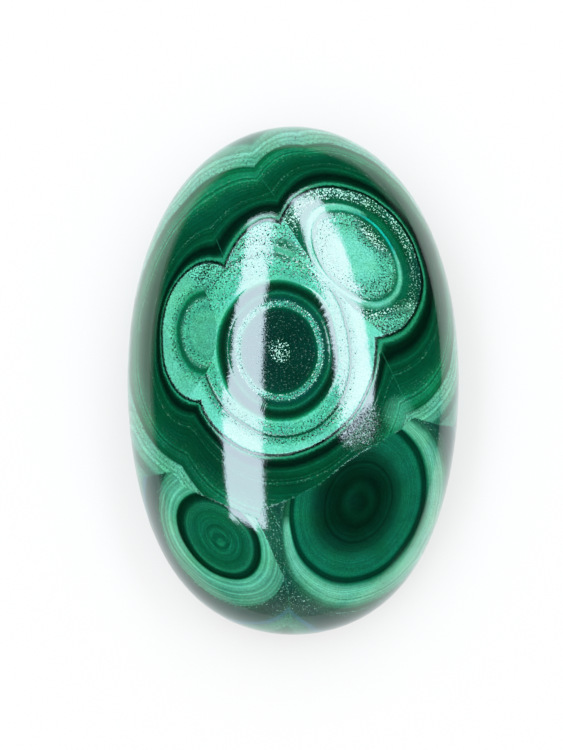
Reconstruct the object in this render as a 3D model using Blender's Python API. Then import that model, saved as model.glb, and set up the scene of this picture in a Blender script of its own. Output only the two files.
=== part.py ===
"""A malachite palm stone: one polished pebble, longer than wide and wider than thick.

Run with: blender --background --python part.py

X runs across the stone, Y along it and Z up. The origin is on the surface that the stone rests on,
under the middle of its outline. The narrower end points along +Y.
"""

import math

import bmesh
import bpy

# Driving dimensions, in metres.
LENGTH = 0.0600
WIDTH = 0.0391
CROWN_HEIGHT = 0.0115  # from the girdle, the widest level, up to the top of the dome
BELLY_DEPTH = 0.0108  # from the girdle down to the rounded underside, before its flat is ground
RESTING_FLAT_DEPTH = 0.0003  # what grinding the flat takes off the belly

# How full the pebble is beside a plain ellipsoid.
SHOULDER = 0.22  # fullness of the outline, seen from above, between its four tips
ROUND_SIDE = 0.15  # fullness of the sides, seen from the side, between the girdle and the top
EGG = 0.05  # the share of its width that the outline loses at the +Y end and gains at the -Y end

# Faceting of the solid.
SPHERE_SUBDIVISIONS = 5
SHORTEST_EDGE = 0.0001

STONE_NAME = "palm_stone"
MALACHITE_GREEN = (0.012, 0.235, 0.115, 1.0)
POLISH_ROUGHNESS = 0.08
MALACHITE_IOR = 1.8

GIRDLE_HEIGHT = BELLY_DEPTH - RESTING_FLAT_DEPTH


def clear_scene():
    """Removes every object that the scene starts with."""
    for obj in list(bpy.data.objects):
        bpy.data.objects.remove(obj, do_unlink=True)


def pillow_stretch(across, along, up):
    """How far a point of the unit sphere moves out to fill the shoulders and the sides.

    It is the root of r^2 - fullness * r^4 = 1, a sphere that bulges between its six tips and
    still just touches a plain sphere at them.
    """
    fullness = SHOULDER * (across * along) ** 2 + ROUND_SIDE * (1.0 - up**2) * up**2
    return math.sqrt(2.0 / (1.0 + math.sqrt(1.0 - 4.0 * fullness)))


def pebble_point(across, along, up):
    """The place on the pebble of a point of the unit sphere."""
    stretch = pillow_stretch(across, along, up)
    across, along, up = across * stretch, along * stretch, up * stretch
    half_height = CROWN_HEIGHT if up > 0.0 else BELLY_DEPTH
    x = WIDTH / 2.0 * across * (1.0 - EGG * along**3)
    y = LENGTH / 2.0 * along
    z = GIRDLE_HEIGHT + half_height * up
    return x, y, z


def grind_resting_flat(bm):
    """Cuts the belly off level with the origin and closes it with one flat face."""
    cut = bmesh.ops.bisect_plane(
        bm,
        geom=bm.verts[:] + bm.edges[:] + bm.faces[:],
        plane_co=(0.0, 0.0, 0.0),
        plane_no=(0.0, 0.0, -1.0),
        clear_outer=True,
    )
    rim = [item for item in cut["geom_cut"] if isinstance(item, bmesh.types.BMEdge)]
    bmesh.ops.edgeloop_fill(bm, edges=rim)
    bmesh.ops.dissolve_degenerate(bm, dist=SHORTEST_EDGE, edges=bm.edges[:])
    bmesh.ops.recalc_face_normals(bm, faces=bm.faces[:])


def polished_malachite():
    """Deep green malachite with a glassy polish."""
    material = bpy.data.materials.new("polished_malachite")
    material.use_nodes = True
    shader = material.node_tree.nodes["Principled BSDF"]
    shader.inputs["Base Color"].default_value = MALACHITE_GREEN
    shader.inputs["Roughness"].default_value = POLISH_ROUGHNESS
    shader.inputs["Metallic"].default_value = 0.0
    shader.inputs["IOR"].default_value = MALACHITE_IOR
    material.diffuse_color = MALACHITE_GREEN
    return material


def make_palm_stone():
    """The whole stone: a sphere shaped to the pebble, with its resting flat."""
    bm = bmesh.new()
    bmesh.ops.create_icosphere(bm, subdivisions=SPHERE_SUBDIVISIONS, radius=1.0)
    for vert in bm.verts:
        vert.co = pebble_point(*vert.co)
    grind_resting_flat(bm)
    mesh = bpy.data.meshes.new(STONE_NAME)
    bm.to_mesh(mesh)
    bm.free()
    mesh.shade_smooth()
    mesh.materials.append(polished_malachite())
    stone = bpy.data.objects.new(STONE_NAME, mesh)
    bpy.context.scene.collection.objects.link(stone)
    return stone


def main():
    clear_scene()
    make_palm_stone()


main()
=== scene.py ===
"""A polished malachite palm stone, lying dome up on a pale table in soft studio light.

The stone is one pebble. Its banding is what the eye reads first: nodules that grew side by side,
each wrapped in light and dark layers, cut through and polished to a gloss. The pattern is worked out
in the solid, in millimetres, so it runs on unbroken over the sides and the underside.
"""

import logging
import math
from collections.abc import Iterable, Mapping, Sequence
from dataclasses import dataclass, field
from enum import Enum
from typing import Any

import bpy
from mathutils import Matrix, Vector

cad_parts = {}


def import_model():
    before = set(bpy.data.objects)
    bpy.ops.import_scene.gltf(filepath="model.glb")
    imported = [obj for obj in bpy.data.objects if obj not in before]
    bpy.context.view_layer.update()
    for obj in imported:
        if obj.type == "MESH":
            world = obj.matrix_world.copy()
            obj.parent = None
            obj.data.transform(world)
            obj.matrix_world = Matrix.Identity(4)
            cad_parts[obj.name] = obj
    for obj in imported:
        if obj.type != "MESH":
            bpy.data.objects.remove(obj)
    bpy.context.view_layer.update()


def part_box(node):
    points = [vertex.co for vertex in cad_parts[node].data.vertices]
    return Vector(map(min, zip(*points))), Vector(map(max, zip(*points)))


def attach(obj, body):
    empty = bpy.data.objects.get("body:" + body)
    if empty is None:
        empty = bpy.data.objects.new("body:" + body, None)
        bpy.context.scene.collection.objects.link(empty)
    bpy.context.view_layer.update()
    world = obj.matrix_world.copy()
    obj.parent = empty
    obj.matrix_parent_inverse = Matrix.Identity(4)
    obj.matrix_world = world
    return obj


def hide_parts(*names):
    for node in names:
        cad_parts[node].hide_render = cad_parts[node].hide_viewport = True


LOG = logging.getLogger("palm_stone")
MM = 0.001
# The length of a shape that runs right through the stone, in millimetres.
ENDLESS = 1.0e6
# The height of the stone's widest girdle, in millimetres.
GIRDLE = 10.5
# How far the nodules lean over across and along the stone for each step up.
BIG_LEAN = (0.12, -0.10)
LOW_LEFT_LEAN = (-0.05, -0.10)
LOW_RIGHT_LEAN = (0.05, -0.05)


def linear(colour: str) -> tuple[float, float, float]:
    """Turns an sRGB hex value to linear light.

    Args:
        colour: The colour as "#rrggbb".

    Returns:
        Its red, green and blue in linear light.
    """
    parts = [int(colour[i : i + 2], 16) / 255.0 for i in (1, 3, 5)]
    red, green, blue = (c / 12.92 if c <= 0.04045 else ((c + 0.055) / 1.055) ** 2.4 for c in parts)
    return red, green, blue


@dataclass
class NodeSheet:
    """A node tree that is being filled in."""

    tree: bpy.types.NodeTree

    def feed(self, node: bpy.types.Node, inputs: Mapping[Any, Any]) -> None:
        """Sets a node's inputs.

        Args:
            node: The node.
            inputs: For each input, by name or number, its value, or the node or socket that feeds it.
                None leaves it as it is.
        """
        for name, value in inputs.items():
            if isinstance(value, bpy.types.Node):
                value = value.outputs[0]
            if isinstance(value, bpy.types.NodeSocket):
                self.tree.links.new(value, node.inputs[name])
            elif value is not None:
                node.inputs[name].default_value = value

    def add(self, kind: str, *values: Any, **named: Any) -> bpy.types.Node:
        """Adds a node.

        Args:
            kind: The node's type, without the leading ShaderNode, and after a space its operation.
            *values: Its first inputs in their order, or one mapping of inputs by number.
            **named: Its inputs with a capitalised name, and its own settings.

        Returns:
            The new node.
        """
        kind, _, operation = kind.partition(" ")
        node = self.tree.nodes.new("ShaderNode" + kind)
        if operation:
            node.operation = operation
        inputs = dict(values[0] if values and isinstance(values[0], Mapping) else enumerate(values))
        for name, value in named.items():
            if name[0].isupper():
                inputs[name] = value
            else:
                setattr(node, name, value)
        self.feed(node, inputs)
        return node


@dataclass(frozen=True)
class Oval:
    """A nodule as the surface cuts it, in millimetres and degrees, seen from above."""

    x: float
    y: float
    long: float
    short: float
    turn: float


@dataclass(frozen=True)
class Front:
    """The outside of a cluster of nodules at one moment of its growth.

    The nodules are ellipsoids that stand side by side, height above the table at their middles,
    depth from there to their tops, and leaning by lean across and along the stone.
    """

    ovals: tuple[Oval, ...]
    depth: float
    height: float = 12.0
    lean: tuple[float, float] = BIG_LEAN


@dataclass(frozen=True)
class Spot:
    """A soft-edged ball in the stone, in millimetres: full out to one radius and gone at another."""

    at: tuple[float, float, float]
    full: float
    none: float
    strength: float = 1.0


@dataclass(frozen=True)
class Band:
    """One colour in a run of layers. Grain is how strongly its fibres sparkle, from 0 to 1."""

    at: float
    colour: str
    grain: float


@dataclass(frozen=True)
class Run:
    """A run of layers, and how strongly fine lines show in it."""

    bands: tuple[Band, ...]
    lines: float


def run_of(*layers: Sequence[Any], lines: float) -> Run:
    """Makes a run of layers.

    Args:
        *layers: The place, colour and grain of each. Grain is left out where it stays the same.
        lines: How strongly fine lines show in the run.

    Returns:
        The run.
    """
    bands: list[Band] = []
    for at, colour, *grain in layers:
        bands.append(Band(at, colour, grain[0] if grain else bands[-1].grain))
    return Run(tuple(bands), lines)


@dataclass
class Layers:
    """What one part of the pattern gives the shader: its colour and its detail.

    The detail is a vector: grain, growth in millimetres, and how strongly the fine lines show.
    """

    colour: bpy.types.NodeSocket
    detail: bpy.types.NodeSocket


MAIN_RING = Front(ovals=(Oval(-1.7, 3.1, 15.8, 12.1, 102),), depth=13.0)
LEFT_RING = Front(ovals=(Oval(-10.9, 6.1, 6.5, 4.2, 85),), depth=13.0)
RIGHT_RING = Front(ovals=(Oval(6.3, 14.8, 8.2, 5.4, 131),), depth=13.0)
BRIGHT_EDGE = Front(
    ovals=(
        Oval(-10.9, 6.1, 9.4, 5.5, 82), Oval(-4.7, 9.8, 10.9, 6.0, 79),
        Oval(-1.2, 2.5, 14.0, 11.9, 65), Oval(5.7, 13.7, 10.9, 8.5, 128),
    ),
    depth=16.0,
)
PALE_LINE = Front(
    ovals=(
        Oval(-11.2, 6.5, 11.2, 5.6, 80), Oval(-5.4, 13.4, 9.5, 6.3, 62),
        Oval(-1.5, 4.0, 16.3, 13.1, 81), Oval(6.2, 13.2, 13.1, 9.3, 120),
    ),
    depth=20.0,
)
DARK_LINE = Front(
    ovals=(
        Oval(-8.5, 7.5, 18.5, 10.2, 76), Oval(-0.3, 20.6, 7.4, 6.6, 82),
        Oval(-1.2, 0.1, 17.8, 14.7, 79), Oval(6.9, 11.9, 16.9, 10.7, 113),
    ),
    depth=26.0,
)
LEFT_EYE = Front(ovals=(Oval(-8.1, -17.2, 7.0, 4.7, 132),), depth=18.0, height=9.0, lean=LOW_LEFT_LEAN)
LEFT_EYE_CORE = Front(
    ovals=(Oval(-8.0, -18.1, 0.14, 0.1, 132),), depth=18.0, height=9.0, lean=LOW_LEFT_LEAN
)
LEFT_EYE_EDGE = Front(
    ovals=(Oval(-7.6, -16.6, 10.6, 7.3, 121),), depth=22.0, height=9.0, lean=LOW_LEFT_LEAN
)
RIGHT_EYE = Front(ovals=(Oval(6.7, -13.2, 11.4, 9.0, 71),), depth=20.0, height=9.0, lean=LOW_RIGHT_LEAN)
RIGHT_EYE_CORE = Front(
    ovals=(Oval(6.4, -13.4, 0.14, 0.11, 71),), depth=20.0, height=9.0, lean=LOW_RIGHT_LEAN
)
RIGHT_EYE_EDGE = Front(
    ovals=(Oval(7.6, -14.5, 13.6, 10.4, 66),), depth=22.0, height=9.0, lean=LOW_RIGHT_LEAN
)

# The bullseye, out from its middle, by its half height in millimetres.
BULLSEYE = run_of(
    (0.0, "#185f4b", 0.92), (0.5, "#0d4f3f", 0.9), (1.0, "#09473a", 0.7), (1.3, "#063f30", 0.45),
    (1.7, "#03332a", 0.2), (4.5, "#04382c"), (4.8, "#034734", 0.1), (4.95, "#04563a"),
    (5.08, "#137457", 0.4), (5.2, "#3a9e82", 0.8), (5.45, "#48b094", 0.9), (5.65, "#36977d", 0.8),
    (5.85, "#125c4a", 0.45), (6.0, "#074b3f", 0.15), (6.15, "#05493b", 0.1), (6.3, "#024c36", 0.0),
    (6.5, "#05563c"), (6.6, "#0d694a"), (6.7, "#157257"), (6.8, "#0a5a40"), (6.95, "#05442f"),
    (7.15, "#02301e"), (7.45, "#022c1b"), (7.72, "#033f29"), (7.88, "#055334"), (8.03, "#0f7851"),
    (8.13, "#1a8c64", 0.05), (8.22, "#34a67f", 0.1), (8.31, "#5cd0aa", 0.12), (8.45, "#5fd3af", 0.15),
    (8.8, "#56caa6", 0.35), (9.2, "#4fc19d", 0.5), lines=0.05,
)
# Inside the main ring and inside the left one, in millimetres back from them.
MAIN_RIM = run_of(
    (-1.5, "#4fc19d", 0.5), (-0.95, "#57c9a4", 0.45), (-0.7, "#4bba97", 0.55), (-0.25, "#48b693", 0.5),
    (-0.19, "#2a8c69", 0.4), (-0.13, "#07462f", 0.0), (0.0, "#0a5a3e"), lines=0.1,
)
MAIN_RIM_TOP = run_of(
    (-1.5, "#66d5b4", 0.5), (-1.25, "#58c8a6", 0.6), (-0.65, "#58cca8", 0.75), (-0.4, "#47a98a", 1.0),
    (-0.2, "#4fb594", 0.95), (0.0, "#5fccaa", 0.7), lines=0.1,
)
LEFT_LOBE = run_of(
    (-4.0, "#4aae8d", 0.2), (-1.6, "#4bb08e", 0.25), (-1.35, "#50b896", 0.3), (-1.1, "#3da484", 0.4),
    (-0.8, "#49b391", 0.5), (-0.7, "#4cb190", 0.65), (-0.6, "#35896c", 0.55), (-0.47, "#1a6b50", 0.1),
    (-0.33, "#07573b", 0.0), (-0.15, "#086642"), (-0.06, "#158660"), (0.0, "#25996f", 0.1), lines=0.2,
)
# Out from those rings, in millimetres.
RING_BAND = run_of(
    (0.0, "#1b8460", 0.2), (0.08, "#3ca582", 0.7), (0.28, "#44ad8b", 0.75), (0.4, "#58c4a1", 0.45),
    (0.6, "#6adcb8", 0.25), (2.2, "#6fe4c1"), lines=0.15,
)
LEFT_BAND = run_of(
    (0.0, "#25996f", 0.1), (0.06, "#349b77", 0.6), (0.28, "#42a886", 0.75), (0.45, "#50b894", 0.6),
    (0.75, "#5dc8a5", 0.25), (2.2, "#63cfac", 0.2), lines=0.2,
)
RING_BAND_TOP = run_of(
    (0.0, "#60cfac", 0.6), (0.25, "#55b998", 0.95), (0.7, "#52b392", 1.0), (0.9, "#63cfae", 0.8),
    (2.2, "#66d8b6", 0.6), lines=0.2,
)
# Inside the right ring, in millimetres back from it: to the left, and to its dark upper right.
NODULE = run_of(
    (-4.5, "#6fd8b6", 0.2), (-2.2, "#6fdcba", 0.25), (-1.7, "#5ec6a5", 0.45), (-1.45, "#54b494", 0.65),
    (-1.1, "#60c4a3"), (-0.75, "#53b595", 0.8), (-0.58, "#257c5e", 0.5), (-0.42, "#116a4b", 0.1),
    (-0.3, "#249070", 0.2), (-0.22, "#5cc3a1", 0.1), (0.0, "#66cfad", 0.0), lines=0.1,
)
NODULE_DARK = run_of(
    (-4.5, "#6fd8b6", 0.2), (-2.6, "#6dd2b1", 0.4), (-2.1, "#5fbd9d", 0.9), (-1.75, "#45977a", 1.0),
    (-1.45, "#28765a"), (-1.15, "#116447"), (-0.85, "#0a5f41", 0.6), (-0.5, "#095d3f", 0.3),
    (-0.3, "#0a6548", 0.0), (-0.22, "#14b8a8"), (-0.08, "#14b8a8"), (0.0, "#045434"), lines=0.1,
)
# Round the right ring, by the share of the way out to the bright edge: right, above, below, and dark.
RIGHT_BAND = run_of(
    (0.0, "#4fb292", 0.0), (0.05, "#237f60", 0.2), (0.1, "#086143", 0.1), (0.2, "#066043"),
    (0.34, "#055a3c", 0.2), (0.42, "#095a3f", 0.35), (0.5, "#0b563d", 0.4), (0.72, "#0a523a", 0.36),
    (0.88, "#0a4f3d", 0.4), (0.94, "#074336", 0.3), (1.0, "#063930", 0.2), lines=0.2,
)
RIGHT_BAND_TOP = run_of(
    (0.0, "#66cfad", 0.0), (0.08, "#63caa8", 0.1), (0.13, "#2f9070", 0.3), (0.17, "#0c6545", 0.15),
    (0.24, "#075a3c", 0.1), (0.36, "#065637", 0.2), (0.42, "#0f6846", 0.85), (0.5, "#237556", 0.9),
    (0.92, "#308265"), (1.0, "#0b5f42", 0.5), lines=0.2,
)
RIGHT_BAND_LOW = run_of(
    (0.0, "#6fd5b2", 0.0), (0.07, "#63caa8", 0.1), (0.13, "#2f8f6f", 0.5), (0.2, "#19694e", 0.8),
    (0.3, "#24785c", 0.95), (0.4, "#4aa98a", 1.0), (0.55, "#5fc09f"), (0.85, "#57b696"),
    (0.95, "#348a6d", 0.9), (1.0, "#1c6a51", 0.6), lines=0.2,
)
RIGHT_BAND_DARK = run_of(
    (0.0, "#045434", 0.0), (0.08, "#086240", 0.1), (0.2, "#096443"), (0.33, "#025836"),
    (0.45, "#014a2c", 0.3), (0.52, "#065035", 0.4), (0.6, "#0a5c40", 0.5), (0.72, "#0f6346", 0.55),
    (0.88, "#12684c", 0.5), (0.94, "#0c5541", 0.4), (1.0, "#043625", 0.2), lines=0.4,
)
# The layers that wrap the cluster, by the share of the way from one front to the next.
EDGE_TO_PALE = run_of(
    (0.0, "#043827", 0.1), (0.05, "#0a5f3e", 0.0), (0.09, "#17744a"), (0.14, "#289670"), (0.19, "#248a66"),
    (0.23, "#176f49"), (0.27, "#075437"), (0.31, "#03432d"), (0.37, "#012e1c"), (0.45, "#012316"),
    (0.6, "#001c12"), (0.7, "#012116"), (0.82, "#023a25"), (0.9, "#03452c", 0.1), (0.96, "#044c32", 0.15),
    (1.0, "#086141"), lines=0.2,
)
PALE_TO_DARK = run_of(
    (0.0, "#086141", 0.15), (0.03, "#034a30"), (0.1, "#02472c"), (0.2, "#034c32", 0.18),
    (0.3, "#024a2f", 0.15), (0.45, "#035035"), (0.55, "#065a3c", 0.18), (0.62, "#096642", 0.2),
    (0.7, "#0f7750"), (0.8, "#107b54"), (0.88, "#118057", 0.18), (0.92, "#0b6c44", 0.1),
    (0.95, "#0a643f", 0.0), (1.0, "#0a613f"), lines=0.55,
)
# Beyond the dark line, in millimetres.
OUTSIDE = run_of(
    (0.0, "#0a6143", 0.0), (0.06, "#37876a", 0.3), (0.14, "#55ab8b", 0.5), (0.25, "#60bb99", 0.4),
    (0.35, "#62be9b", 0.35), (0.39, "#46a07f", 0.4), (0.44, "#5fb998", 0.35), (0.72, "#60bc99"),
    (0.77, "#429b7b", 0.4), (0.83, "#58b08f", 0.3), (1.05, "#66c2a0"), (1.16, "#48a483"), (1.3, "#58b291"),
    (1.6, "#4aa284", 0.25), (1.85, "#226f56", 0.2), (2.3, "#266f58"), (2.6, "#46997d", 0.25),
    (3.4, "#4a9d80"), (3.7, "#1d6b51", 0.2), (4.6, "#0b4f39"), (5.0, "#2c8c69"), (6.0, "#54b592", 0.3),
    (6.8, "#46a685"), (7.2, "#0d6144", 0.2), (8.6, "#043a28", 0.15), (9.0, "#2c8f6c", 0.2),
    (10.0, "#52b291", 0.3), (10.8, "#1c7656", 0.2), (12.0, "#0b5a40", 0.15), lines=0.5,
)
LEFT_EYE_INSIDE = run_of(
    (0.0, "#11734f", 0.1), (0.1, "#0f6c4b"), (0.16, "#07573c"), (0.25, "#06543a"), (0.31, "#0e6a4a"),
    (0.45, "#08553a"), (0.52, "#0b6144"), (0.6, "#07583a"), (0.7, "#0b6042"), (0.76, "#126a4b"),
    (0.81, "#177352"), (0.84, "#0b543a", 0.05), (0.87, "#043b28", 0.0), (0.95, "#012a1a"),
    (0.985, "#033421"), (1.0, "#0a5838"), lines=0.55,
)
LEFT_EYE_BAND = run_of(
    (0.0, "#12744f", 0.0), (0.03, "#359470", 0.05), (0.07, "#4dae8b", 0.1), (0.13, "#59b695"),
    (0.2, "#4aa886"), (0.28, "#55b191"), (0.35, "#61bb9b"), (0.44, "#50aa8a"), (0.58, "#57ae8f"),
    (0.66, "#509f82"), (0.7, "#3f9576", 0.15), (0.76, "#50a183"), (0.88, "#459476"), (0.94, "#37876b", 0.2),
    (1.0, "#2c785d", 0.3), lines=0.55,
)
RIGHT_EYE_INSIDE = run_of(
    (0.0, "#033022", 0.08), (0.25, "#012819"), (0.45, "#012719"), (0.58, "#033122"), (0.66, "#063f2c"),
    (0.71, "#084f38"), (0.75, "#0c5f43", 0.1), (0.8, "#0d674a"), (0.86, "#0d664a"), (0.91, "#0f7052"),
    (0.937, "#0a654a", 0.08), (0.95, "#024630", 0.0), (0.97, "#013323"), (1.0, "#023828"), lines=0.55,
)
RIGHT_EYE_BAND = run_of(
    (0.0, "#064633", 0.0), (0.04, "#0d5c40", 0.1), (0.08, "#1f7858"), (0.12, "#3d9a79"),
    (0.17, "#56b18f", 0.15), (0.25, "#60bd9b"), (0.4, "#68c3a1"), (0.5, "#61b998"), (0.53, "#429a79", 0.2),
    (0.56, "#60ba98", 0.15), (0.68, "#499f80"), (0.78, "#2e795c"), (0.88, "#1e5f48", 0.2),
    (1.0, "#195a45", 0.25), lines=0.55,
)
# Beyond both eyes, in millimetres. The bluish band from 1.62 to 1.88 is a painted blue glint.
UNDER_EYES = run_of(
    (0.0, "#195a45", 0.25), (0.15, "#195845"), (0.3, "#145040", 0.2), (0.5, "#0f463a", 0.15),
    (0.8, "#11493c"), (1.1, "#184f41"), (1.35, "#1f5b49"), (1.5, "#1d584e"), (1.62, "#2a6d70", 0.1),
    (1.75, "#3b7a88"), (1.88, "#3a7a70"), (2.1, "#3a866c", 0.15), (2.6, "#4f9a80", 0.2), (3.0, "#1c6a4e"),
    (4.4, "#0d543a"), (5.2, "#2f8c69"), (6.2, "#4fae8b", 0.3), (7.0, "#12684a", 0.2),
    (8.4, "#07402c", 0.15), (8.8, "#2f8c69", 0.2), (10.0, "#50b08d", 0.3), (11.0, "#0f6044", 0.2), lines=0.4,
)

# What sets each part's fine lines apart from the others', in millimetres of growth.
CLUSTER_SEED, LEFT_SEED, RIGHT_SEED, UNDER_SEED = 20.0, 60.0, 90.0, 120.0
# The growth in millimetres from the bright edge to the pale line, and from there to the dark line.
EDGE_THICKNESS, PALE_THICKNESS = 2.5, 5.5
# A place on the bullseye's axis, and how wide its rings are for their height.
BULLSEYE_MIDDLE = (-2.75, 4.47, 12.0)
BULLSEYE_WIDTH = 0.885
# The radius at which the bullseye's fibres fan out, and how far to either side of it.
FAN_RING = (7.1, 1.4)
# From one place along the stone to another, how far the seam between the two lower nodules is shifted.
EYES_SHIFT = (-24.0, -16.4, 0.4, -2.8)
# How far the suture has slanted away at the table, in millimetres.
SUTURE_SLANT = 6.0
SEAM_STRENGTH = 0.25
# Where along the stone the rings change, in millimetres, from none of the change to all of it.
MAIN_TOP = (10.0, 12.0)
RIGHT_TOP = (17.0, 20.0)
RIGHT_LOW = (9.6, 7.2)
FRAYED = Spot((10.8, 18.3, 17.4), full=2.8, none=4.4)
DARK_SIDE = Spot((11.6, 17.8, 17.0), full=3.4, none=4.6)
BLOB_EYE = Spot((10.6, 13.2, 18.6), full=0.2, none=1.7, strength=0.6)
SHADE = Spot((-11.5, -9.0, 17.5), full=2.5, none=7.5, strength=0.6)
SPROUT = Spot((11.8, -3.8, 18.2), full=0.3, none=2.7)
CREST = Spot((-1.1, 15.35, 20.35), full=0.85, none=1.6)
WEDGE = Spot((-0.2, -24.3, 14.0), full=1.8, none=4.6, strength=0.7)
HORN = Spot((-0.6, -14.3, 20.4), full=1.5, none=2.9, strength=0.93)
FRACTURE = Spot((7.9, -5.4, 19.6), full=1.6, none=3.6)
# Straight seams where growth fronts ran into each other: start, end and half width, from above.
SEAMS = (
    (-4.3, 24.7, -2.0, 21.5, 0.05), (9.7, 4.6, 13.4, -2.9, 0.05), (-9.1, 16.6, -7.9, 13.9, 0.05),
    (2.4, 13.2, 5.4, 10.0, 0.06),
)
# Where the big cluster ends and the two lower nodules begin, across and along the stone.
SUTURE = (
    (-20.0, -11.6), (-16.9, -11.2), (-14.3, -10.7), (-12.7, -12.6), (-11.0, -13.3), (-7.4, -14.8),
    (-4.1, -16.2), (-3.7, -15.0), (-1.5, -14.3), (0.8, -13.4), (3.2, -12.0), (5.5, -10.1), (7.9, -8.3),
    (10.3, -7.0), (12.6, -5.7), (14.0, -4.3), (16.8, -5.1), (20.0, -5.6),
)


def draw_curve(curve: bpy.types.CurveMap, points: Sequence[tuple[float, float]]) -> None:
    """Draws a curve.

    Args:
        curve: The curve, with no points yet but its two ends.
        points: The places of its points, from one end to the other.
    """
    curve.points[0].location = points[0]
    curve.points[-1].location = points[-1]
    for point in points[1:-1]:
        curve.points.new(*point)


@dataclass
class GrowthPattern(NodeSheet):
    """Malachite's banding: nodules side by side, wrapped in the layers that grew round them."""

    albedo_share: float
    waves_per_mm: float = 0.16
    # Low in the stone the layers wander a lot, and near its top hardly: each height, and how far.
    wavy: tuple[float, float] = (3.0, 8.0)
    calm: tuple[float, float] = (14.0, 0.4)
    jags_per_mm: float = 5.0
    jag_reach: float = 0.15
    dots_per_mm: float = 3.0
    shards: float = 45.0
    flat: bpy.types.Node = field(init=False)
    place: bpy.types.Node = field(init=False)
    jag: bpy.types.Node = field(init=False)
    dots: bpy.types.Node = field(init=False)
    fan: bpy.types.Node = field(init=False)
    fan_mark: bpy.types.Node = field(init=False)

    def __post_init__(self) -> None:
        """Sets the pattern's coordinates: the object's own, in millimetres, a little wavy."""
        add = self.add
        spot = add("TexCoord").outputs["Object"]
        self.flat = add("VectorMath SCALE", spot, Scale=1.0 / MM)
        drift = add("TexNoise", Vector=self.flat, Scale=self.waves_per_mm, Detail=1.0).outputs["Color"]
        centred = add("VectorMath SUBTRACT", drift, (0.5, 0.5, 0.5))
        height = add("SeparateXYZ", self.flat).outputs["Z"]
        reach = add("MapRange", height, self.wavy[0], self.calm[0], self.wavy[1], self.calm[1])
        wave = add("VectorMath SCALE", centred, Scale=reach)
        self.place = add("VectorMath ADD", self.flat, wave)
        rough = add("TexNoise", Vector=self.flat, Scale=self.jags_per_mm, Detail=2.0, Roughness=0.8)
        self.jag = add("MapRange", rough, 0.3, 0.7, -self.jag_reach, self.jag_reach)
        broken = add("TexNoise", Vector=self.flat, Scale=self.dots_per_mm, Detail=1.0)
        self.dots = add("MapRange", broken, 0.42, 0.56, 0.1, 1.0)

    def pigment(self, colour: str) -> tuple[float, ...]:
        """Gives a colour as the shader takes it, in linear light and with its alpha."""
        return (*(value * self.albedo_share for value in linear(colour)), 1.0)

    def run(self, position: Any, run: Run, grown: Any) -> Layers:
        """Lays a run of layers along a position in the growth.

        Args:
            position: What says how far the growth has come.
            run: The run.
            grown: The growth in millimetres, for the fine lines.

        Returns:
            The layers.
        """
        start, end = run.bands[0].at, run.bands[-1].at
        share = self.add("MapRange", position, start, end)
        ramp = self.add("ValToRGB", share)
        stops = ramp.color_ramp.elements
        while len(stops) > 1:
            stops.remove(stops[-1])
        for number, band in enumerate(run.bands):
            place = (band.at - start) / (end - start)
            stop = stops[0] if number == 0 else stops.new(place)
            stop.position = place
            stop.color = (*self.pigment(band.colour)[:3], band.grain)
        packed = self.add("CombineXYZ", ramp.outputs["Alpha"], grown, run.lines)
        return Layers(ramp.outputs["Color"], packed.outputs[0])

    def blend(self, amount: Any, first: Layers, second: Layers) -> Layers:
        """Blends two runs of layers.

        Args:
            amount: 0 for the first run, 1 for the second.
            first: The run at 0.
            second: The run at 1.

        Returns:
            The blended layers.
        """
        colour = self.add("Mix", {0: amount, 6: first.colour, 7: second.colour}, data_type="RGBA")
        detail = self.add("Mix", {0: amount, 4: first.detail, 5: second.detail}, data_type="VECTOR")
        return Layers(colour.outputs[2], detail.outputs[1])

    def beyond(self, distance: Any, inside: Layers, outside: Layers) -> Layers:
        """Shows one run where a distance from a front is below zero and another where it is above."""
        return self.blend(self.add("Math GREATER_THAN", distance, 0.0), inside, outside)

    def lean(self, lean: tuple[float, float]) -> Matrix:
        """Gives the turn that leans the upright axis over, across and along the stone for each step up."""
        upright = Vector((0.0, 0.0, 1.0))
        return upright.rotation_difference(Vector((*lean, 1.0)).normalized()).to_matrix()

    def distance(self, front: Front, jag: float = 0.0) -> bpy.types.Node:
        """Works out how far a point lies outside a growth front.

        Args:
            front: The growth front.
            jag: How jagged the front is, from 0 to 1.

        Returns:
            The node that gives the distance in millimetres, below zero inside.
        """
        add = self.add
        nearest = add("Math MULTIPLY", self.jag, jag) if jag else None
        gaps = []
        for oval in front.ovals:
            turned = self.lean(front.lean) @ Matrix.Rotation(math.radians(oval.turn), 3, "Z")
            local = add(
                "Mapping",
                self.place,
                (oval.x, oval.y, front.height),
                turned.to_euler("XYZ"),
                (oval.long, oval.short, front.depth),
                vector_type="TEXTURE",
            )
            radius = add("VectorMath LENGTH", local).outputs["Value"]
            size = math.sqrt(oval.long * oval.short)
            gaps.append(add("Math MULTIPLY_ADD", radius, size, -size))
        gap = gaps[0]
        for other in gaps[1:]:
            gap = add("Math MINIMUM", gap, other)
        return gap if nearest is None else add("Math ADD", gap, nearest)

    def share(self, inner: Any, outer: Any) -> bpy.types.Node:
        """Says how far a point is from an inner front, 0, to an outer one, 1, by its distances from them."""
        between = self.add("Math SUBTRACT", inner, outer)
        return self.add("Math DIVIDE", inner, between, use_clamp=True)

    def near(self, spot: Spot) -> bpy.types.Node:
        """Marks out a spot, from 0 to its strength."""
        radius = self.add("VectorMath DISTANCE", self.place, spot.at).outputs["Value"]
        return self.add("MapRange", radius, spot.none, spot.full, None, spot.strength)

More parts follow.
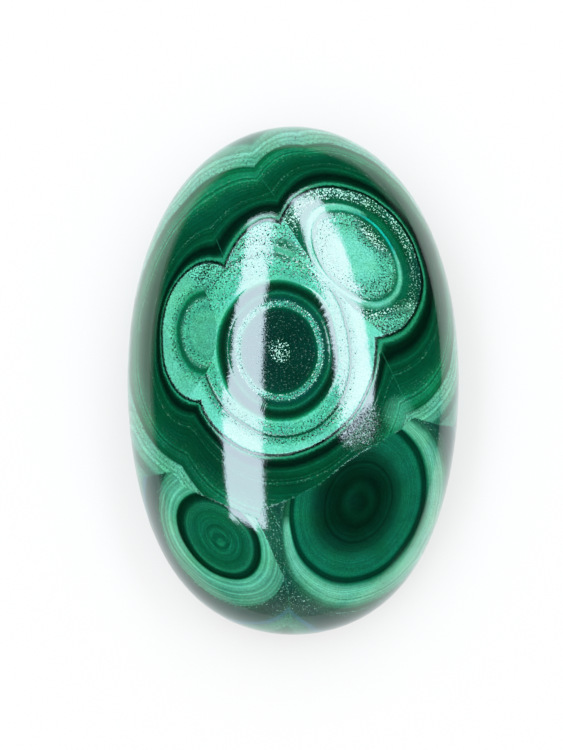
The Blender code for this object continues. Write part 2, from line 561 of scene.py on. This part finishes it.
    def growth(self, *fronts: Any) -> bpy.types.Node:
        """Counts the growth in millimetres through a cluster's fronts, for the fine lines.

        Args:
            *fronts: The distances from the bright edge, the pale line and the dark line.

        Returns:
            The node that gives the growth.
        """
        add = self.add
        edge, pale, dark = fronts
        grown = add("Math MULTIPLY_ADD", self.share(edge, pale), EDGE_THICKNESS, CLUSTER_SEED)
        grown = add("Math MULTIPLY_ADD", self.share(pale, dark), PALE_THICKNESS, grown)
        past = add("Math MAXIMUM", dark, 0.0)
        return add("Math ADD", grown, past)

    def bullseye(self, ring: Any, top: Any) -> Layers:
        """Lays the bullseye: a leaning column of rings in the middle of the cluster.

        Args:
            ring: The distance from the main ring.
            top: 1 towards the top of the main ring, where it has no dark line, and 0 elsewhere.

        Returns:
            Its layers.
        """
        add = self.add
        local = add(
            "Mapping",
            self.place,
            BULLSEYE_MIDDLE,
            self.lean(BIG_LEAN).to_euler("XYZ"),
            (BULLSEYE_WIDTH, 1.0, ENDLESS),
            vector_type="TEXTURE",
        )
        radius = add("VectorMath LENGTH", local).outputs["Value"]
        # Round the dark ring the fibres fan out from the middle in long shards.
        fan = add("VectorMath NORMALIZE", local)
        fan = add("VectorMath SCALE", fan, Scale=self.shards)
        self.fan = add("VectorMath ADD", fan, local)
        self.fan_mark = add("Math COMPARE", radius, *FAN_RING)
        rings = self.run(radius, BULLSEYE, radius)
        start = add("Math MULTIPLY_ADD", top, -0.5, -1.0)
        near_rim = add("MapRange", ring, start, -0.85)
        rim = self.blend(top, self.run(ring, MAIN_RIM, ring), self.run(ring, MAIN_RIM_TOP, ring))
        return self.blend(near_rim, rings, rim)

    def right_nodule(self, ring: Any, edge: Any) -> tuple[Layers, Layers]:
        """Lays the nodule on the upper right: a pale blob in a ring, frayed on its dark right side.

        Args:
            ring: The distance from its ring.
            edge: The distance from the bright edge.

        Returns:
            The layers inside its ring, and those outside.
        """
        add = self.add
        frayed = self.near(FRAYED)
        inside = self.blend(frayed, self.run(ring, NODULE, ring), self.run(ring, NODULE_DARK, ring))
        inside = self.patch(self.near(BLOB_EYE), "#3fae8b", 0.4, inside)
        across = self.share(ring, edge)
        along = add("SeparateXYZ", self.place).outputs["Y"]
        high = add("MapRange", along, *RIGHT_TOP)
        low = add("MapRange", along, *RIGHT_LOW)
        outside = self.blend(high, self.run(across, RIGHT_BAND, ring), self.run(across, RIGHT_BAND_TOP, ring))
        outside = self.blend(low, outside, self.run(across, RIGHT_BAND_LOW, ring))
        dark_side = self.near(DARK_SIDE)
        return inside, self.blend(dark_side, outside, self.run(across, RIGHT_BAND_DARK, ring))

    def cluster(self) -> Layers:
        """Lays the big cluster: the bullseye, the nodules round it and the layers that wrap them all.

        Returns:
            Its layers.
        """
        add = self.add
        main = self.distance(MAIN_RING, jag=0.45)
        left = self.distance(LEFT_RING, jag=0.5)
        right = self.distance(RIGHT_RING, jag=0.3)
        edge = self.distance(BRIGHT_EDGE, jag=0.55)
        pale = self.distance(PALE_LINE, jag=0.3)
        dark = self.distance(DARK_LINE, jag=0.3)
        grown = self.growth(edge, pale, dark)
        pair = add("Math MINIMUM", main, left)
        ring = add("Math MINIMUM", pair, right)
        on_left = add("Math SUBTRACT", main, left)
        on_right = add("Math SUBTRACT", pair, right)

        along = add("SeparateXYZ", self.place).outputs["Y"]
        top = add("MapRange", along, *MAIN_TOP)
        inside = self.beyond(on_left, self.bullseye(main, top), self.run(left, LEFT_LOBE, left))
        right_inside, right_outside = self.right_nodule(right, edge)
        inside = self.beyond(on_right, inside, right_inside)
        outside = self.blend(top, self.run(pair, RING_BAND, edge), self.run(pair, RING_BAND_TOP, edge))
        outside = self.beyond(on_left, outside, self.run(pair, LEFT_BAND, edge))
        outside = self.beyond(on_right, outside, right_outside)
        layers = self.crest(main, self.beyond(ring, inside, outside))
        layers = self.beyond(edge, layers, self.run(self.share(edge, pale), EDGE_TO_PALE, grown))
        layers = self.beyond(pale, layers, self.run(self.share(pale, dark), PALE_TO_DARK, grown))
        layers = self.patch(self.only(pale, self.near(SHADE)), "#023524", 0.15, layers)
        layers = self.patch(self.near(SPROUT), "#58c6a2", 0.3, layers)
        layers = self.beyond(dark, layers, self.run(dark, OUTSIDE, grown))
        for seam in SEAMS:
            layers = self.seam(seam, layers)
        return self.trace(edge, "#01120d", layers, full=0.09, none=0.16, least=0.9)

    def crest(self, ring: Any, layers: Layers) -> Layers:
        """Lays the crest of the main ring: for a little way a plain pale line between dark frayed patches.

        Args:
            ring: The distance from the main ring.
            layers: The layers that it runs over.

        Returns:
            The layers with the crest.
        """
        spot = self.near(CREST)
        frayed = self.add("Math MULTIPLY", spot, 0.85)
        layers = self.patch(frayed, "#126a49", 0.33, layers)
        away = self.add("Math ABSOLUTE", ring)
        line = self.add("MapRange", away, 0.24, 0.14)
        line = self.add("Math MULTIPLY", line, spot)
        return self.patch(line, "#55bb97", 0.1, layers)

    def only(self, distance: Any, mark: Any) -> bpy.types.Node:
        """Keeps a mark only where a distance from a front is above zero."""
        past = self.add("Math GREATER_THAN", distance, 0.0)
        return self.add("Math MULTIPLY", mark, past)

    def patch(self, mark: Any, colour: str, grain: float, layers: Layers) -> Layers:
        """Lays a patch of one colour over the layers.

        Args:
            mark: Where the patch is, from 0 to 1.
            colour: The patch's colour.
            grain: How strongly its fibres sparkle.
            layers: The layers under it.

        Returns:
            The layers with the patch.
        """
        ends = {0: mark, 6: layers.colour, 7: self.pigment(colour)}
        colours = self.add("Mix", ends, data_type="RGBA")
        details = self.add("SeparateXYZ", layers.detail)
        grains = self.add("Mix", {0: mark, 2: details.outputs["X"], 3: grain})
        packed = self.add("CombineXYZ", grains.outputs[0], details.outputs["Y"], details.outputs["Z"])
        return Layers(colours.outputs[2], packed.outputs[0])

    def seam(self, seam: Sequence[float], layers: Layers) -> Layers:
        """Draws a short straight seam between two growth fronts.

        Args:
            seam: Where it starts and ends, across and along the stone, and its half width.
            layers: The layers that it runs through.

        Returns:
            The layers with the seam.
        """
        add = self.add
        x, y, end_x, end_y, width = seam
        local = add(
            "Mapping",
            self.place,
            (x, y, 0.0),
            (0.0, 0.0, math.atan2(end_y - y, end_x - x)),
            (math.hypot(end_x - x, end_y - y), width, ENDLESS),
            vector_type="TEXTURE",
        )
        split = add("SeparateXYZ", local)
        middle = add("Math SUBTRACT", split.outputs["X"], 0.5)
        middle = add("Math ABSOLUTE", middle)
        length = add("MapRange", middle, 0.52, 0.4)
        away = add("Math ABSOLUTE", split.outputs["Y"])
        mark = add("MapRange", away, 1.6, 0.5, None, SEAM_STRENGTH)
        mark = add("Math MULTIPLY", mark, length)
        line = add("Mix", {0: mark, 6: layers.colour, 7: self.pigment("#2f9a76")}, data_type="RGBA")
        return Layers(line.outputs[2], layers.detail)

    def trace(
        self, distance: Any, colour: str, layers: Layers, full: float, none: float, least: float = 0.1
    ) -> Layers:
        """Traces a thin broken line along a front.

        Args:
            distance: The distance from the front.
            colour: The line's colour.
            layers: The layers that it runs over.
            full: How far from the front the line is at full strength.
            none: How far from it the line ends.
            least: How strong the line still is where it breaks, from 0 to 1.

        Returns:
            The layers with the line.
        """
        away = self.add("Math ABSOLUTE", distance)
        strength = self.add("Math MAXIMUM", self.dots, least)
        mark = self.add("MapRange", away, none, full, None, strength)
        return self.patch(mark, colour, 0.0, layers)

    def eye(
        self, fronts: tuple[Front, Front, Front], inside: Run, band: Run, seed: float
    ) -> tuple[Layers, Any, Any]:
        """Lays one of the two lower nodules.

        Args:
            fronts: Its core, the outside of its dark ring, and the outside of the light band round that.
            inside: The layers from its core to the dark ring.
            band: The layers of the light band.
            seed: What sets its fine lines apart from the others'.

        Returns:
            Its layers, the distance from its ring, and the distance from its edge.
        """
        core, ring = self.distance(fronts[0]), self.distance(fronts[1])
        rim = self.distance(fronts[2], jag=0.5)
        grown = self.add("Math ADD", ring, seed)
        middle = self.run(self.share(core, ring), inside, grown)
        return self.beyond(ring, middle, self.run(self.share(ring, rim), band, grown)), ring, rim

    def pair(self) -> Layers:
        """Lays the two lower nodules and the layers that wrap them.

        Returns:
            Their layers.
        """
        add = self.add
        left, left_ring, left_rim = self.eye(
            (LEFT_EYE_CORE, LEFT_EYE, LEFT_EYE_EDGE), LEFT_EYE_INSIDE, LEFT_EYE_BAND, LEFT_SEED
        )
        right, right_ring, right_rim = self.eye(
            (RIGHT_EYE_CORE, RIGHT_EYE, RIGHT_EYE_EDGE), RIGHT_EYE_INSIDE, RIGHT_EYE_BAND, RIGHT_SEED
        )
        along = add("SeparateXYZ", self.place).outputs["Y"]
        shift = add("MapRange", along, *EYES_SHIFT)
        gap = add("Math SUBTRACT", left_ring, right_ring)
        side = add("Math SUBTRACT", gap, shift)
        rim = add("Math MINIMUM", left_rim, right_rim)
        outer = self.run(rim, UNDER_EYES, add("Math ADD", rim, UNDER_SEED))
        outer = self.patch(self.near(WEDGE), "#104a3b", 0.5, outer)
        # High on its left side the right nodule's light band is thin and dim.
        right = self.patch(self.only(right_ring, self.near(HORN)), "#054a2f", 0.1, right)
        left = self.beyond(left_rim, left, outer)
        right = self.beyond(right_rim, right, outer)
        side = add("Math ADD", side, self.jag)
        return self.trace(side, "#3f8f74", self.beyond(side, left, right), full=0.0, none=0.09)

    def suture(self) -> bpy.types.Node:
        """Draws the line where the big cluster meets the two lower nodules.

        Returns:
            The node that gives the distance below that line, in millimetres.
        """
        add = self.add
        split = add("SeparateXYZ", self.place)
        start, end = SUTURE[0][0], SUTURE[-1][0]
        low, high = -20.0, 0.0
        across = add("MapRange", split.outputs["X"], start, end)
        curve = add("FloatCurve", Value=across)
        line = curve.mapping.curves[0]
        draw_curve(line, [((x - start) / (end - start), (y - low) / (high - low)) for x, y in SUTURE])
        for point in line.points:
            point.handle_type = "VECTOR"
        curve.mapping.update()
        level = add("MapRange", curve, None, None, low, high)
        # Below the girdle the line slants away, so it doesn't drop straight down the sides.
        slant = add("MapRange", split.outputs["Z"], GIRDLE, 0.0, None, SUTURE_SLANT)
        level = add("Math SUBTRACT", level, slant)
        return add("Math SUBTRACT", level, split.outputs["Y"])

    def lay(self) -> Layers:
        """Lays the whole pattern.

        Returns:
            Its layers.
        """
        seam = self.suture()
        seam = self.add("Math ADD", seam, self.jag)
        layers = self.beyond(seam, self.cluster(), self.pair())
        return self.trace(seam, "#2d8668", layers, full=0.0, none=0.1)


@dataclass(frozen=True)
class MalachiteFinish:
    """Malachite, sawn, ground and polished: glossy green bands with a fine fibrous grain.

    The stone's high index gives the white table a strong mirror image near the outline. Its fibres end
    at the polished surface, where they catch the light one by one and fray the edge of each highlight.
    """

    slot_name: str = "polished_malachite"
    ior: float = 1.8
    roughness: float = 0.05
    satin: float = 0.14
    facet_lean: float = -0.033
    albedo_share: float = 0.4
    fibres_per_mm: float = 5.5
    ends_per_mm: float = 7.5
    lines_per_mm: float = 3.4
    clouds_per_mm: float = 0.35
    # How strongly fine lines and clouds change the lightness, and clouds the red, green and blue.
    line_change: float = 0.8
    cloud_change: float = 0.7
    hue_drift: tuple[float, float, float] = (0.3, 0.06, 0.5)
    # The specks: how far they keep to the fine lines' rows, from which noise they show, and how much
    # lower that is in coarse grain.
    rows: float = 0.3
    speck_least: float = 0.685
    speck_edge: float = 0.03
    coarse_least: float = -0.16
    # Up to one grey a layer counts as dark, and from the other as light. Dark layers get pale specks,
    # light ones dark specks, and the gaps in between change too, in light layers and in dark ones.
    dark_grey: float = 0.2
    light_grey: float = 0.3
    light_speck: str = "#bcf8e5"
    dark_speck: float = -2.2
    gaps: tuple[float, float] = (0.3, -1.0)
    # How deep the grain is: at least, and more for grain, fine lines and the fracture. Deep grain is
    # held back a little, so that it doesn't lighten a layer.
    held_back: float = 0.005
    least_depth: float = 1.3
    grain_depth: float = 1.6
    line_depth: float = -1.1
    fracture_depth: float = 5.0
    # How far the fibres' ends tilt: at least, and more for grain, the fracture, specks and shards.
    least_tilt: float = 0.05
    grain_tilt: float = 0.38
    fracture_tilt: float = 0.65
    speck_tilt: float = 1.0
    shard_tilt: float = 0.035
    # How far light layers and the fronts' jags stand out of the polish, in millimetres.
    light_relief: float = -0.07
    jag_relief: float = 0.003

    def speckle(self, pattern: GrowthPattern, layers: Layers, fibre: Any, fine: Any) -> tuple[Any, Any, Any]:
        """Turns the fibres' ends to specks: light ones in dark layers and dark ones in light layers.

        Args:
            pattern: The pattern, and with it the material's nodes.
            layers: The layers.
            fibre: The fibres' noise.
            fine: The fine lines' noise, which sets the specks in rows.

        Returns:
            The speckled colour, the change in lightness that goes with it, and where the specks are.
        """
        add = pattern.add
        grain = add("SeparateXYZ", layers.detail).outputs[0]
        rowed = add("Math MULTIPLY_ADD", fine, self.rows, fibre)
        least = add("Math MULTIPLY_ADD", grain, self.coarse_least, self.speck_least + self.rows / 2.0)
        strength = add("MapRange", grain, 0.15, 0.5)
        over = add("Math SUBTRACT", rowed, least)
        mark = add("MapRange", over, 0.0, self.speck_edge, None, strength)
        turned = add("Math SUBTRACT", 1.0 + self.rows, rowed)
        under = add("Math SUBTRACT", turned, least)
        back = add("MapRange", under, 0.0, self.speck_edge, None, strength)
        grey = add("RGBToBW", layers.colour)
        dark, light = self.dark_grey * self.albedo_share, self.light_grey * self.albedo_share
        darkness = add("MapRange", grey, dark, light, 1.0, 0.0)
        pale = add("Math MULTIPLY", mark, darkness)
        ends = {0: pale, 6: layers.colour, 7: pattern.pigment(self.light_speck)}
        speckled = add("Mix", ends, data_type="RGBA")
        drop = add("MapRange", darkness, None, None, self.dark_speck, 0.0)
        swing = add("MapRange", darkness, None, None, *self.gaps)
        change = add("Math MULTIPLY", mark, drop)
        change = add("Math MULTIPLY_ADD", back, swing, change)
        return speckled.outputs[2], change, mark

    def facet(self, pattern: GrowthPattern) -> bpy.types.Node:
        """Leans the polish over a little left of the bullseye, which narrows the highlight there.

        Args:
            pattern: The pattern, and with it the material's nodes.

        Returns:
            The node that gives the lean, to add to the surface's direction.
        """
        add = pattern.add
        place = add("SeparateXYZ", pattern.flat)
        near_side = add("MapRange", place.outputs["X"], -4.9, -5.9)
        far_side = add("MapRange", place.outputs["X"], -12.0, -9.0)
        upper = add("MapRange", place.outputs["Y"], -1.8, 1.0)
        mark = add("Math MULTIPLY", near_side, far_side)
        mark = add("Math MULTIPLY", mark, upper)
        return add("VectorMath SCALE", (self.facet_lean, 0.0, 0.0), Scale=mark)

    def dress(self) -> bpy.types.Material:
        """Makes the material.

        Returns:
            The finished material.
        """
        material = bpy.data.materials.new(self.slot_name)
        material.use_nodes = True
        pattern = GrowthPattern(material.node_tree, self.albedo_share)
        add = pattern.add
        layers = pattern.lay()
        detail = add("SeparateXYZ", layers.detail)
        grain, grown, lines = detail.outputs[0], detail.outputs[1], detail.outputs[2]
        fibre = add("TexNoise", Vector=pattern.flat, Scale=self.fibres_per_mm, Detail=1.0, Roughness=0.5)
        fine = add(
            "TexNoise", W=grown, Scale=self.lines_per_mm, Detail=3.0, Roughness=0.7, noise_dimensions="1D"
        )
        speckled, change, pits = self.speckle(pattern, layers, fibre, fine)
        fine_centred = add("MapRange", fine, 0.25, 0.75, -self.line_change, self.line_change)
        power = add("Math MULTIPLY_ADD", fine_centred, lines, change)
        cloud = add("TexNoise", Vector=pattern.flat, Scale=self.clouds_per_mm, Detail=3.0)
        clouded = add("Math SUBTRACT", cloud, 0.5)
        power = add("Math MULTIPLY_ADD", clouded, self.cloud_change, power)
        # Every layer has a faint grain of its own, fainter where fine lines are strong, and the fracture
        # by the bullseye a strong one.
        frost = pattern.near(FRACTURE)
        milled = add("SeparateXYZ", fibre.outputs["Color"]).outputs["Y"]
        depth = add("Math MULTIPLY_ADD", grain, self.grain_depth, self.least_depth)
        depth = add("Math MULTIPLY_ADD", lines, self.line_depth, depth)
        depth = add("Math MULTIPLY_ADD", frost, self.fracture_depth, depth)
        level = add("Math MULTIPLY_ADD", depth, self.held_back, 0.5)
        milled = add("Math SUBTRACT", milled, level)
        power = add("Math MULTIPLY_ADD", milled, depth, power)
        gain = add("Math EXPONENT", power)
        # The hue drifts a little from yellowish to bluish green.
        drift = add("VectorMath SUBTRACT", cloud.outputs["Color"], (0.5, 0.5, 0.5))
        drift = add("VectorMath MULTIPLY_ADD", drift, self.hue_drift, (1.0, 1.0, 1.0))
        colour = add("VectorMath MULTIPLY", speckled, drift)
        colour = add("VectorMath SCALE", colour, Scale=gain)
        # Soft light layers polish a little lower than hard dark ones.
        grey = add("RGBToBW", layers.colour)
        relief = add("Math MULTIPLY", grey, self.light_relief)
        relief = add("Math MULTIPLY_ADD", pattern.jag, self.jag_relief, relief)
        bump = add("Bump", Height=relief, Distance=MM, Strength=1.0)
        # Each fibre's end has its own slight tilt, so a highlight breaks up into glints at its edge.
        rough = add("Math MULTIPLY", grain, grain)
        rough = add("Math MULTIPLY_ADD", rough, self.grain_tilt, self.least_tilt)
        rough = add("Math MULTIPLY_ADD", frost, self.fracture_tilt, rough)
        rough = add("Math MULTIPLY_ADD", pits, self.speck_tilt, rough)
        rough = add("Math MULTIPLY_ADD", pattern.fan_mark, self.shard_tilt, rough)
        ends = add("VectorMath SCALE", pattern.flat, Scale=self.ends_per_mm)
        ends = add("Mix", {0: pattern.fan_mark, 4: ends, 5: pattern.fan}, data_type="VECTOR")
        cell = add("TexVoronoi", Vector=ends.outputs[1], Scale=1.0).outputs["Color"]
        tilt = add("VectorMath SUBTRACT", cell, (0.5, 0.5, 0.5))
        cubed = add("VectorMath MULTIPLY", tilt, tilt)
        cubed = add("VectorMath MULTIPLY", cubed, tilt)
        normal = add("VectorMath SCALE", cubed, Scale=rough)
        normal = add("VectorMath ADD", normal, bump)
        normal = add("VectorMath ADD", normal, self.facet(pattern))
        normal = add("VectorMath NORMALIZE", normal)
        satin = add("Math MULTIPLY_ADD", frost, self.satin, self.roughness)
        feeds = {"Base Color": colour, "Normal": normal, "Roughness": satin, "IOR": self.ior}
        pattern.feed(material.node_tree.nodes["Principled BSDF"], feeds)
        return material


@dataclass
class PalmStone:
    """The pebble: a sphere shaped to a rounded oval, flat underneath where it rests."""

    node: str = "palm_stone"
    name: str = "polished_stone"
    belly: float = 0.0108
    resting_flat: float = 0.0003
    shoulder: float = 0.22
    round_side: float = 0.15
    egg: float = 0.05
    subdivisions: int = 7
    weld: float = 1.0e-7

    def surface_point(self, across: float, along: float, up: float, low: Vector, high: Vector) -> Vector:
        """Finds the place on the pebble of a point of the unit sphere.

        Args:
            across: The point's X on the unit sphere.
            along: Its Y.
            up: Its Z.
            low: The lowest corner of the stone's box.
            high: The highest corner of the stone's box.

        Returns:
            The place in metres.
        """
        fullness = self.shoulder * (across * along) ** 2 + self.round_side * (1.0 - up**2) * up**2
        stretch = math.sqrt(2.0 / (1.0 + math.sqrt(1.0 - 4.0 * fullness)))
        across, along, up = across * stretch, along * stretch, up * stretch
        size = high - low
        middle = (high + low) / 2.0
        girdle = self.belly - self.resting_flat
        crown = size.z - girdle
        x = middle.x + size.x / 2.0 * across * (1.0 - self.egg * along**3)
        y = middle.y + size.y / 2.0 * along
        z = girdle + up * (crown if up > 0.0 else self.belly)
        return Vector((x, y, z))

    def build(self) -> bpy.types.Object:
        """Models the pebble.

        Returns:
            The stone, at the origin with its place in its mesh.
        """
        low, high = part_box(self.node)
        bpy.ops.object.select_all(action="DESELECT")
        bpy.ops.mesh.primitive_ico_sphere_add(subdivisions=self.subdivisions, radius=1.0)
        stone = bpy.context.object
        stone.name = self.name
        stone.data.name = self.name
        for vertex in stone.data.vertices:
            vertex.co = self.surface_point(*vertex.co, low, high)
        bpy.ops.object.mode_set(mode="EDIT")
        bpy.ops.mesh.select_all(action="SELECT")
        bpy.ops.mesh.bisect(
            plane_co=(0.0, 0.0, 0.0),
            plane_no=(0.0, 0.0, -1.0),
            use_fill=True,
            clear_outer=True,
            threshold=self.weld,
        )
        bpy.ops.mesh.select_all(action="SELECT")
        bpy.ops.mesh.normals_make_consistent(inside=False)
        bpy.ops.object.mode_set(mode="OBJECT")
        bpy.ops.object.shade_smooth_by_angle(angle=math.radians(20.0))
        return stone

    def fit(self, finish: MalachiteFinish) -> bpy.types.Object:
        """Builds the stone, dresses it and sets it in the frame.

        Args:
            finish: The stone's finish.

        Returns:
            The stone.
        """
        stone = self.build()
        stone.data.materials.append(finish.dress())
        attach(stone, "root")
        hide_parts(self.node)
        LOG.info("%s: %d faces", stone.name, len(stone.data.polygons))
        return stone


class Side(Enum):
    """Which side of the stone a softbox hangs on."""

    LEFT = "left"
    RIGHT = "right"


@dataclass(frozen=True)
class Softbox:
    """A strip softbox that hangs level over the table and shows as a long highlight."""

    side: Side
    x: float
    y: float
    length: float
    turn: float
    tilt: float
    radiance: tuple[float, float, float]
    width: float = 0.22
    height: float = 0.7

    def hang(self) -> bpy.types.Object:
        """Hangs the softbox.

        Returns:
            The light.
        """
        lamp = bpy.data.lights.new("softbox_" + self.side.value, "AREA")
        lamp.shape = "RECTANGLE"
        lamp.size = self.width
        lamp.size_y = self.length
        strength = max(self.radiance)
        lamp.color = [value / strength for value in self.radiance]
        lamp.energy = strength * math.pi * self.width * self.length
        light = bpy.data.objects.new(lamp.name, lamp)
        light.location = (self.x, self.y, self.height)
        light.rotation_euler = (math.radians(self.tilt), 0.0, math.radians(self.turn))
        light.visible_camera = False
        bpy.context.scene.collection.objects.link(light)
        return light


@dataclass
class Studio:
    """The plain pale table, the two softboxes, the dim room and the camera."""

    table_size: float = 3.0
    # The painted pool of light on the table that the stone mirrors, which darkens the paper's colour
    # outwards: its radius in metres and its least level.
    pool_radius: float = 0.041
    pool_least: float = 0.6
    frame_height: float = 0.08845
    frame_centre: tuple[float, float] = (-0.00137, 0.00066)
    camera_distance: float = 1.5
    fill_colour: tuple[float, float, float] = (1.0, 0.91, 0.85)
    fill_strength: float = 1.87
    dark: float = 0.003
    film_white: float = 1.8
    film: Sequence[tuple[float, float]] = (
        (0.0, 0.0), (0.3, 0.3), (0.6, 0.6), (0.8, 0.755), (1.0, 0.86), (1.2, 0.93), (1.5, 0.985), (1.8, 1.0),
    )
    softboxes: Iterable[Softbox] = (
        Softbox(Side.LEFT, x=-0.241, y=0.1, length=0.92, turn=0.0, tilt=10.5, radiance=(6.4, 7.9, 9.1)),
        Softbox(Side.RIGHT, x=0.215, y=0.285, length=0.8, turn=20.0, tilt=0.0, radiance=(7.0, 8.9, 10.1)),
    )

    def lay_table(self) -> bpy.types.Object:
        """Lays the table.

        Returns:
            The table top.
        """
        bpy.ops.object.select_all(action="DESELECT")
        bpy.ops.mesh.primitive_plane_add(size=self.table_size)
        table = bpy.context.object
        table.name = "table"
        paper = bpy.data.materials.new("matt_white_paper")
        paper.use_nodes = True
        sheet = NodeSheet(paper.node_tree)
        add = sheet.add
        spot = add("TexCoord").outputs["Object"]
        pulp = add("TexNoise", Vector=spot, Scale=400.0, Detail=2.0)
        # A painted pool of light round the stone: the paper's colour, as the stone mirrors it, fades away
        # along the table and ends on the right.
        away = add("VectorMath LENGTH", spot).outputs["Value"]
        heading = add("VectorMath NORMALIZE", spot)
        heading = add("SeparateXYZ", heading)
        power = add("MapRange", heading.outputs["Y"], 0.8, 0.95, 0.5, 0.42)
        nearness = add("Math DIVIDE", self.pool_radius, away, use_clamp=True)
        painted_pool = add("Math POWER", nearness, power)
        painted_pool = add("Math MAXIMUM", painted_pool, self.pool_least)
        to_right = add("MapRange", heading.outputs["X"], 0.65, 0.85)
        pool = add("MapRange", away, 0.035, 0.105, 1.0, 0.36)
        end = add("MapRange", away, 0.105, 0.11, 1.0, 0.02)
        pool = add("Math MULTIPLY", pool, end)
        painted_pool = add("Mix", {0: to_right, 2: painted_pool, 3: pool}).outputs[0]
        # Only mirror rays see the painted pool; to the camera the paper stays evenly white.
        mirrored = add("LightPath").outputs["Is Glossy Ray"]
        level = add("Mix", {0: mirrored, 2: 1.0, 3: painted_pool}).outputs[0]
        white = add("VectorMath SCALE", linear("#c9c9c9"), Scale=level)
        bump = add("Bump", Height=pulp, Distance=0.02 * MM, Strength=0.2)
        feeds = {"Base Color": white, "Normal": bump, "Roughness": 0.9, "Specular IOR Level": 0.2}
        sheet.feed(paper.node_tree.nodes["Principled BSDF"], feeds)
        table.data.materials.append(paper)
        return table

    def wall(self, sheet: NodeSheet, up: Any, low: float, high: float, level: float) -> Any:
        """Says how bright the room is on one side: level up to one height, and dark from another."""
        return sheet.add("MapRange", up, low, high, level, self.dark, interpolation_type="SMOOTHSTEP")

    def light_room(self) -> None:
        """Lights the room softly.

        The mirror images show it dark overhead and pale down by the table, where paper hangs round it.
        """
        world = bpy.data.worlds.new("room")
        world.use_nodes = True
        bpy.context.scene.world = world
        sheet = NodeSheet(world.node_tree)
        add = sheet.add
        direction = add("TexCoord").outputs["Generated"]
        up = add("SeparateXYZ", direction).outputs["Z"]
        level = add("VectorMath MULTIPLY", direction, (1.0, 1.0, 0.0))
        level = add("VectorMath NORMALIZE", level)
        heading = add("SeparateXYZ", level)
        paper = self.wall(sheet, up, 0.0, 0.12, 0.47)
        for axis, start, end, wall in (
            ("X", 0.65, 0.85, self.dark),
            ("Y", 0.86, 0.96, self.wall(sheet, up, 0.03, 0.16, 0.85)),
            ("Y", -0.9, -0.97, self.wall(sheet, up, 0.1, 0.62, 0.5)),
        ):
            side = add("MapRange", heading.outputs[axis], start, end)
            paper = add("Mix", {0: side, 2: paper, 3: wall}).outputs[0]
        path = add("LightPath")
        fill = world.node_tree.nodes["Background"]
        sheet.feed(fill, {"Color": (*self.fill_colour, 1.0), "Strength": self.fill_strength})
        mirrored = add("Background", (1.0, 1.0, 1.0, 1.0), paper)
        backdrop = add("Background", (1.0, 1.0, 1.0, 1.0), 1.0)
        mixed = add("MixShader", path.outputs["Is Glossy Ray"], fill, mirrored)
        mixed = add("MixShader", path.outputs["Is Camera Ray"], mixed, backdrop)
        sheet.feed(world.node_tree.nodes["World Output"], {0: mixed})

    def set_camera(self) -> bpy.types.Object:
        """Sets the camera straight above the stone.

        Returns:
            The camera.
        """
        data = bpy.data.cameras.new("camera")
        data.sensor_width = 36.0
        data.lens = data.sensor_width * self.camera_distance / self.frame_height
        data.clip_start = 0.05
        data.clip_end = 10.0
        camera = bpy.data.objects.new("camera", data)
        camera.location = (*self.frame_centre, GIRDLE * MM + self.camera_distance)
        bpy.context.scene.collection.objects.link(camera)
        bpy.context.scene.camera = camera
        return camera

    def build(self) -> None:
        """Sets the studio up."""
        self.lay_table()
        self.light_room()
        self.set_camera()
        for softbox in self.softboxes:
            LOG.info("%s", softbox.hang().name)
        self.load_film()

    def load_film(self) -> None:
        """Sets the film: straight up to a mid grey, with a soft shoulder over the highlights."""
        view = bpy.context.scene.view_settings
        view.view_transform = "Standard"
        view.use_curve_mapping = True
        view.curve_mapping.white_level = (self.film_white,) * 3
        points = [(light / self.film_white, shown) for light, shown in self.film]
        draw_curve(view.curve_mapping.curves[3], points)
        view.curve_mapping.update()


def main() -> None:
    """Builds the stone and its studio."""
    logging.basicConfig(level=logging.INFO, format="%(message)s")
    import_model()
    PalmStone().fit(MalachiteFinish())
    Studio().build()
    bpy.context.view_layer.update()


if __name__ == "__main__":
    main()
